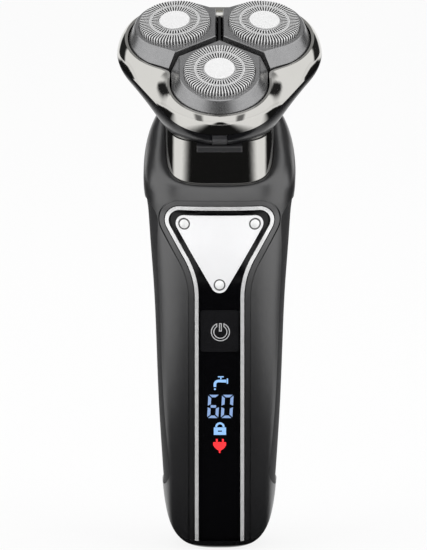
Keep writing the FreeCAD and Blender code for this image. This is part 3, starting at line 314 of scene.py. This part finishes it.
def dress_nodes():
    """Gives every CAD node the surface of its material slot."""
    slots = {part["node"]: part["material_slot"] for part in frame["record"]["subparts"]}
    for name, node in frame["nodes"].items():
        node.data.materials.clear()
        node.data.materials.append(SLOT_SURFACES[slots[name]].material)


def rivet_middles():
    """Middle of each rivet, in the badge plate's own coordinates."""
    rivets, plate = frame["nodes"]["badge_rivets"], frame["nodes"]["badge_plate"]
    corners = [rivets.matrix_world @ corner.co for corner in rivets.data.vertices]
    reach = max(corner.x for corner in corners) / 2
    middles = []
    for low, high in ((-3 * reach, -reach), (-reach, reach), (reach, 3 * reach)):
        group = [corner for corner in corners if low < corner.x < high]
        ends = [(min(corner[axis] for corner in group) + max(corner[axis] for corner in group)) / 2
                for axis in range(3)]
        middles.append(plate.matrix_world.inverted() @ Vector(ends))
    return middles


dress_nodes()
# painted shade: a dark circle round each rivet stands for the shade in a groove round it
SLOT_SURFACES["plate"].painted_shade_rounds(rivet_middles(), RIVET_SHADE_RING, RIVET_SHADE)
for key, surface in (("power_button", plain("button_lens", (0.009, 0.009, 0.01), 0.12)),
                     ("release_button", plain("release_grip", (0.035, 0.035, 0.037), 0.35))):
    frame["nodes"][key].data.materials[0] = surface.material


# ---------------------------------------------------------------- slotted guards
def guard_matrix(name):
    """From a guard's own frame in millimetres, x outwards and z off the cutter, to the row frame."""
    place, axis = joint_place("cutter_turn_" + name)
    across = joint_place("pod_tilt_" + name)[1]
    matrix = Matrix((across.cross(axis).normalized(), across, axis)).transposed().to_4x4()
    matrix.translation = place + axis * LID_HEIGHT * MM
    return matrix @ Matrix.Scale(MM, 4)


def add_revolved(mesh, profile):
    """Closed ring of revolution from a closed profile of (radius, height) points."""
    rings = []
    for step in range(RING_STEPS):
        angle = 2 * math.pi * step / RING_STEPS
        rings.append([mesh.verts.new((r * math.cos(angle), r * math.sin(angle), h)) for r, h in profile])
    for ring, following in zip(rings, rings[1:] + rings[:1]):
        for index in range(len(profile)):
            after = (index + 1) % len(profile)
            mesh.faces.new((ring[index], following[index], following[after], ring[after]))


def sheet_rows(path):
    """Outer and inner point of the sheet's cross-section at each point of a path."""
    rows = []
    for index, (r, h) in enumerate(path):
        before, after = Vector(path[max(0, index - 1)]), Vector(path[min(len(path) - 1, index + 1)])
        along = (after - before).normalized() * SHEET
        rows.append(((r, h), (r + along.y, h - along.x)))
    return rows


def add_bars(mesh, path, count):
    """Radial bars round the axis that follow a path of (radius, height) points."""
    half = math.pi / count * METAL_SHARE
    for bar in range(count):
        middle = 2 * math.pi * bar / count
        sides = (middle - half, middle + half)
        rows = []
        for pair in sheet_rows(path):
            rows.append([mesh.verts.new((r * math.cos(angle), r * math.sin(angle), h))
                         for r, h in pair for angle in sides])
        for low, high in zip(rows, rows[1:]):
            for a, b in ((0, 1), (1, 3), (3, 2), (2, 0)):
                face = mesh.faces.new((low[a], high[a], high[b], low[b]))
                # every face of a bar but its top takes the second material, painted shade for the slots
                face.material_index = 0 if (a, b) == (0, 1) else 1
        for row in (rows[0], rows[-1]):
            mesh.faces.new((row[0], row[1], row[3], row[2]))


def finish_mesh(mesh, name, materials, body):
    """Object from a bmesh in the row frame, facing outwards, riding on a body."""
    bmesh.ops.recalc_face_normals(mesh, faces=mesh.faces)
    data = bpy.data.meshes.new(name)
    mesh.to_mesh(data)
    mesh.free()
    piece = bpy.data.objects.new(name, data)
    bpy.context.collection.objects.link(piece)
    for material in materials:
        data.materials.append(material)
    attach(piece, body)
    return piece


def make_guards():
    # the second material is near-black steel, painted shade in the slots between the bars
    materials = (SLOT_SURFACES["steel"].material, plain("slot_painted_shade", (0.05, 0.05, 0.05), 0.6, 0.3).material)
    for name in POD_NAMES:
        mesh = bmesh.new()
        for profile in (WALL_RING, GROOVED_RING, HUB_RING):
            add_revolved(mesh, profile)
        add_bars(mesh, OUTER_PATH, OUTER_BARS)
        add_bars(mesh, INNER_PATH, INNER_BARS)
        mesh.transform(guard_matrix(name))
        guard = finish_mesh(mesh, "slotted_guard_" + name, materials, "guard_" + name)
        guard.data.polygons.foreach_set("use_smooth", [True] * len(guard.data.polygons))
        guard.data.set_sharp_from_angle(angle=math.radians(SMOOTH_ANGLE))
        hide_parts("cutter_guard_" + name)


# ---------------------------------------------------------------- lit symbols and the button's mark
def arc(x, z, radius, start, end, steps):
    """Points on a circle between two angles in degrees, from +x towards +z."""
    angles = [math.radians(start + (end - start) * step / steps) for step in range(steps + 1)]
    return [(x + radius * math.cos(angle), z + radius * math.sin(angle)) for angle in angles]


def rectangle(x_low, x_high, z_low, z_high):
    return [(x_low, z_low), (x_high, z_low), (x_high, z_high), (x_low, z_high)]


def digit_loops(lit, x, width):
    """Seven-segment digit: lit names its segments, a at the top and on clockwise, g in the middle."""
    side, bar, gap = SEGMENT_SIDE, SEGMENT_BAR, SEGMENT_GAP
    height, right = DIGIT_HEIGHT, width
    middle = height / 2
    low_end, high_end = middle - bar / 2, middle + bar / 2
    shapes = {
        "a": [(gap, height), (right - gap, height), (right - side - gap, height - bar),
              (side + gap, height - bar)],
        "b": [(right, height - gap), (right, middle + gap), (right - side, high_end + gap),
              (right - side, height - bar - gap)],
        "c": [(right, middle - gap), (right, gap), (right - side, bar + gap),
              (right - side, low_end - gap)],
        "d": [(gap, 0.0), (right - gap, 0.0), (right - side - gap, bar), (side + gap, bar)],
        "e": [(0.0, middle - gap), (0.0, gap), (side, bar + gap), (side, low_end - gap)],
        "f": [(0.0, height - gap), (0.0, middle + gap), (side, high_end + gap), (side, height - bar - gap)],
        "g": [(gap * 3, middle), (side, high_end), (right - side, high_end), (right - gap * 3, middle),
              (right - side, low_end), (side, low_end)],
    }
    slant = math.tan(math.radians(DIGIT_SLANT))
    return [[(x + u + v * slant, DIGIT_LOW + v) for u, v in shapes[name]] for name in lit]


def tap_loops():
    spout = [(2.1, 55.4), (-0.3, 55.4)] + arc(-0.3, 53.9, 1.5, 90, 180, 8) + [(-1.8, 53.1), (-1.0, 53.1)]
    spout += arc(-0.3, 53.9, 0.7, 180, 90, 8) + [(2.1, 54.5)]
    return [spout, rectangle(2.2, 2.6, 54.1, 55.8), rectangle(0.2, 0.6, 55.5, 56.1),
            rectangle(-0.5, 1.3, 56.15, 56.5), arc(-1.4, 52.4, 0.3, 0, 330, 11)]


def padlock_loops():
    shackle = [(-1.3, 40.3)] + arc(0.13, 40.4, 1.43, 180, 0, 12) + [(1.56, 40.3), (0.95, 40.3)]
    shackle += arc(0.13, 40.4, 0.82, 0, 180, 12) + [(-0.69, 40.3)]
    return [shackle, rectangle(-1.74, 2.0, 37.8, 40.2), rectangle(-0.5, 0.76, 38.8, 39.2)]


def plug_loops():
    middle = 0.05
    half_widths = ((32.0, 0.22), (32.8, 0.28), (33.2, 0.95), (33.8, 1.55), (34.5, 1.95), (35.3, 2.0),
                   (35.5, 1.8))
    right = [(middle + half, z) for z, half in half_widths]
    left = [(middle - half, z) for z, half in reversed(half_widths)]
    return [right + left, rectangle(-1.1, -0.55, 35.6, 36.5), rectangle(0.75, 1.3, 35.6, 36.5)]


def power_mark_loops():
    """Outlined power sign: a broken ring and an upright bar, each drawn as a thin line."""
    loops = []
    for inset in (0.0, SIGN_LINE):
        outer, inner = SIGN_OUTER - inset, SIGN_INNER + inset
        cuts = [math.degrees(math.asin((SIGN_BREAK + inset) / radius)) for radius in (outer, inner)]
        loops.append(arc(SIGN_X, SIGN_Z, outer, 90 + cuts[0], 450 - cuts[0], SIGN_STEPS)
                     + arc(SIGN_X, SIGN_Z, inner, 450 - cuts[1], 90 + cuts[1], SIGN_STEPS))
        half = SIGN_BAR_HALF - inset
        loops.append(rectangle(SIGN_X - half, SIGN_X + half, SIGN_Z + SIGN_BAR_LOW + inset,
                               SIGN_Z + SIGN_BAR_HIGH - inset))
    return loops


def make_symbols(name, loops, surface, carrier, body):
    """Thin plates from closed outlines in millimetres, laid on the front of a CAD node."""
    mesh = bmesh.new()
    edges = []
    for loop in loops:
        corners = [mesh.verts.new((x, 0.0, z)) for x, z in loop]
        edges += [mesh.edges.new(pair) for pair in zip(corners, corners[1:] + corners[:1])]
    filled = bmesh.ops.triangle_fill(mesh, use_beauty=True, edges=edges)
    faces = [item for item in filled["geom"] if isinstance(item, bmesh.types.BMFace)]
    grown = bmesh.ops.extrude_face_region(mesh, geom=faces)
    for item in grown["geom"]:
        if isinstance(item, bmesh.types.BMVert):
            item.co.y = PRINT_DEPTH
    node = frame["nodes"][carrier]
    into = node.matrix_world.inverted()
    for corner in mesh.verts:
        start = Vector((corner.co.x * MM, -0.1, corner.co.z * MM))
        hit, place = node.ray_cast(into @ start, into.to_3x3() @ Vector((0, 1, 0)))[:2]
        if not hit:
            raise RuntimeError(name + " runs off " + carrier)
        front = (node.matrix_world @ place).y
        corner.co = Vector((start.x, front + (corner.co.y - PRINT_PROUD) * MM, start.z))
    piece = finish_mesh(mesh, name, (surface.material,), body)
    return piece


def make_display():
    pale = lit_surface("lit_pale_blue", (0.15, 0.23, 0.4), 0.85)
    blue = lit_surface("lit_blue", (0.18, 0.33, 0.56), 0.85)
    red = lit_surface("lit_red", (0.75, 0.02, 0.025), 0.9)
    digits = [loop for digit in DIGITS for loop in digit_loops(*digit)]
    for name, loops, surface in (("minutes_digits", digits, pale), ("tap_symbol", tap_loops(), blue),
                                 ("travel_lock_symbol", padlock_loops(), blue),
                                 ("charge_symbol", plug_loops(), red)):
        make_symbols(name, loops, surface, "front_window", "handle")
    mark = plain("button_print", (0.62, 0.62, 0.63), 0.35, 0.3)
    make_symbols("power_mark", power_mark_loops(), mark, "power_button", "power_key")


make_guards()
make_display()


# ---------------------------------------------------------------- studio
def make_camera():
    """Very long lens in front of the shaver, looking down a little."""
    down = math.radians(CAMERA_DOWN)
    data = bpy.data.cameras.new("camera")
    data.sensor_width = SENSOR
    data.lens = SENSOR * CAMERA_DISTANCE / FRAME_HEIGHT
    camera = bpy.data.objects.new("camera", data)
    bpy.context.collection.objects.link(camera)
    back = Vector((0.0, -math.cos(down), math.sin(down)))
    camera.location = Vector(CAMERA_TARGET) + back * CAMERA_DISTANCE
    camera.rotation_mode = "QUATERNION"
    camera.rotation_quaternion = (-back).to_track_quat("-Z", "Y")
    bpy.context.scene.camera = camera


def area_lamp(name, place, size, power):
    data = bpy.data.lights.new(name, "AREA")
    data.shape = "RECTANGLE"
    data.size, data.size_y = size
    data.energy = power
    lamp = bpy.data.objects.new(name, data)
    bpy.context.collection.objects.link(lamp)
    lamp.location = place
    lamp.rotation_mode = "QUATERNION"
    lamp.rotation_quaternion = (Vector(AIM) - Vector(place)).to_track_quat("-Z", "Y")
    lamp.visible_glossy = False


def math_node(tree, operation, first, second):
    """Math node between two values, each a socket or a number; returns its output."""
    node = tree.nodes.new("ShaderNodeMath")
    node.operation = operation
    for socket, value in zip(node.inputs, (first, second)):
        if isinstance(value, bpy.types.NodeSocket):
            tree.links.new(value, socket)
        else:
            socket.default_value = value
    return node.outputs[0]


def mixed(tree, share, first, second):
    """Shader that goes from the first to the second as the share grows; returns its output."""
    node = tree.nodes.new("ShaderNodeMixShader")
    for socket, value in zip(node.inputs, (share, first, second)):
        tree.links.new(value, socket)
    return node.outputs[0]


def white_world():
    """Even white surroundings: seen by the camera and in reflections, and a soft fill light."""
    world = bpy.data.worlds.new("studio")
    bpy.context.scene.world = world
    world.use_nodes = True
    tree = world.node_tree
    tree.nodes.clear()
    lights = []
    for strength in (WORLD_FILL, 1.0):
        light = tree.nodes.new("ShaderNodeBackground")
        light.inputs["Color"].default_value = (1, 1, 1, 1)
        light.inputs["Strength"].default_value = strength
        lights.append(light.outputs[0])
    path = tree.nodes.new("ShaderNodeLightPath").outputs
    seen = math_node(tree, "MAXIMUM", path["Is Camera Ray"], path["Is Glossy Ray"])
    seen = math_node(tree, "MAXIMUM", seen, path["Is Transmission Ray"])
    out = tree.nodes.new("ShaderNodeOutputWorld")
    tree.links.new(mixed(tree, seen, *lights), out.inputs["Surface"])


def make_plane(name, size, place, normal):
    mesh = bpy.data.meshes.new(name)
    half_x, half_y = size[0] / 2, size[1] / 2
    mesh.from_pydata([(-half_x, -half_y, 0), (half_x, -half_y, 0), (half_x, half_y, 0), (-half_x, half_y, 0)],
                     [], [(0, 1, 2, 3)])
    plane = bpy.data.objects.new(name, mesh)
    bpy.context.collection.objects.link(plane)
    plane.location = place
    plane.rotation_mode = "QUATERNION"
    plane.rotation_quaternion = Vector(normal).to_track_quat("Z", "Y")
    return plane


def make_floor():
    """White floor that keeps the shaver's shadow."""
    floor = make_plane("studio_floor", (FLOOR_SIZE, FLOOR_SIZE), (0, 0, FLOOR_Z), (0, 0, 1))
    material = bpy.data.materials.new("floor_white")
    material.use_nodes = True
    tree = material.node_tree
    shader = tree.nodes["Principled BSDF"]
    shader.inputs["Base Color"].default_value = (0.9, 0.9, 0.9, 1)
    shader.inputs["Roughness"].default_value = 0.7
    glow = tree.nodes.new("ShaderNodeEmission")
    glow.inputs["Strength"].default_value = 1.0
    path = tree.nodes.new("ShaderNodeLightPath").outputs
    seen = math_node(tree, "MAXIMUM", path["Is Camera Ray"], path["Is Glossy Ray"])
    share = math_node(tree, "MULTIPLY", seen, FLOOR_GLOW)
    surface = mixed(tree, share, shader.outputs[0], glow.outputs[0])
    tree.links.new(surface, tree.nodes["Material Output"].inputs["Surface"])
    floor.data.materials.append(material)


def edge_fade(tree, distance, length, edge):
    """One inside, and down to nothing over the last share of the way to a card's edge."""
    fade = tree.nodes.new("ShaderNodeMapRange")
    fade.interpolation_type = "SMOOTHSTEP"
    fade.inputs["From Min"].default_value = length / 2 * (1 - edge)
    fade.inputs["From Max"].default_value = length / 2
    fade.inputs["To Min"].default_value = 1.0
    fade.inputs["To Max"].default_value = 0.0
    tree.links.new(distance, fade.inputs["Value"])
    return fade.outputs["Result"]


def soft_card(name, size, place, facing, shade, edges, density=1.0):
    """Flag that only reflections see. It fades out towards its edges; edges are the shares that fade."""
    card = make_plane(name, size, place, Vector(facing) - Vector(place))
    material = bpy.data.materials.new(name + "_card")
    material.use_nodes = True
    tree = material.node_tree
    tree.nodes.remove(tree.nodes["Principled BSDF"])
    glow = tree.nodes.new("ShaderNodeEmission")
    glow.inputs["Color"].default_value = (shade, shade, shade, 1)
    clear = tree.nodes.new("ShaderNodeBsdfTransparent")
    split = tree.nodes.new("ShaderNodeSeparateXYZ")
    tree.links.new(tree.nodes.new("ShaderNodeTexCoord").outputs["Object"], split.inputs[0])
    share = density
    for axis, length, edge in zip("XY", size, edges):
        distance = math_node(tree, "ABSOLUTE", split.outputs[axis], 0.0)
        share = math_node(tree, "MULTIPLY", share, edge_fade(tree, distance, length, edge))
    surface = mixed(tree, share, clear.outputs[0], glow.outputs[0])
    tree.links.new(surface, tree.nodes["Material Output"].inputs["Surface"])
    card.data.materials.append(material)
    card.visible_camera = False
    card.visible_diffuse = False
    card.visible_shadow = False
    card.visible_transmission = False


make_camera()
bpy.context.scene.view_settings.view_transform = "Standard"
white_world()
make_floor()
for lamp in LAMPS:
    area_lamp(*lamp)
for name, size, place, edges in FLOOR_CARDS:
    soft_card(name, size, (*place, CARD_Z), (*place, 1.0), FLOOR_CARD_SHADE, edges)
for name, size, place, shade, edges, density in RAISED_CARDS:
    soft_card(name, size, place, AIM, shade, edges, density)
